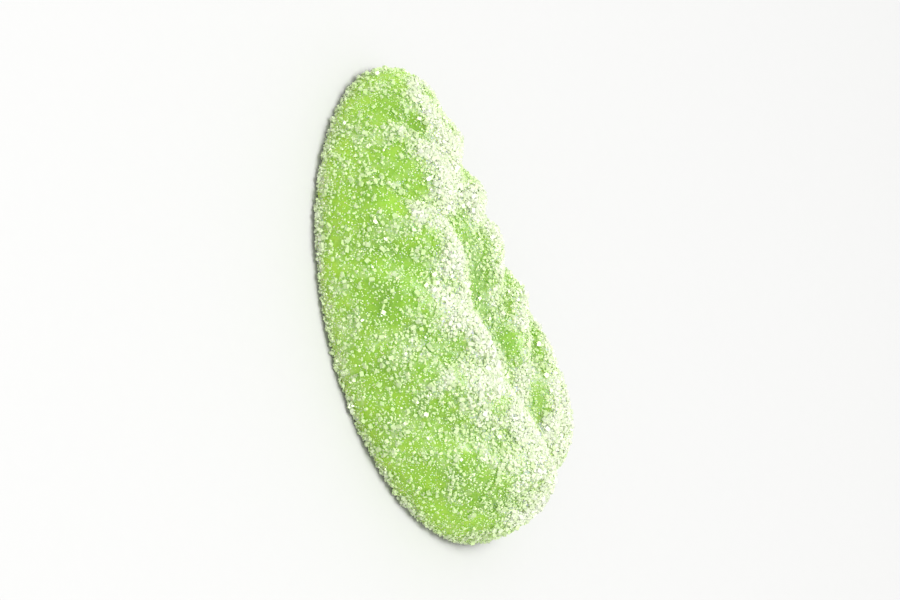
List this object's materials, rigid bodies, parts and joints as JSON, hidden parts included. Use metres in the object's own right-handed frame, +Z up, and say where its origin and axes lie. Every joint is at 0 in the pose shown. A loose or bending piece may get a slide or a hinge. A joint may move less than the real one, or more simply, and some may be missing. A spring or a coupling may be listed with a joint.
{
  "type": "spearmint leaf candy",
  "caption": "Soft mint jelly sweet in the shape of a bent leaf, with a veined face and a flat back, rolled in coarse sugar.",
  "frame": {"origin": "on the flat back, under the middle of the bounding box", "axes": "+Z up out of the veined face, +Y towards the narrow tip, -X towards the bulging side"},
  "size_m": [0.022, 0.0416, 0.0111],
  "materials": {
    "jelly": "translucent green jelly, dulled by sugar",
    "sugar": "clear to white sugar grains with sparkling faces"
  },
  "bodies": {
    "root": {"sugared_leaf": "jelly"}
  },
  "joints": []
}
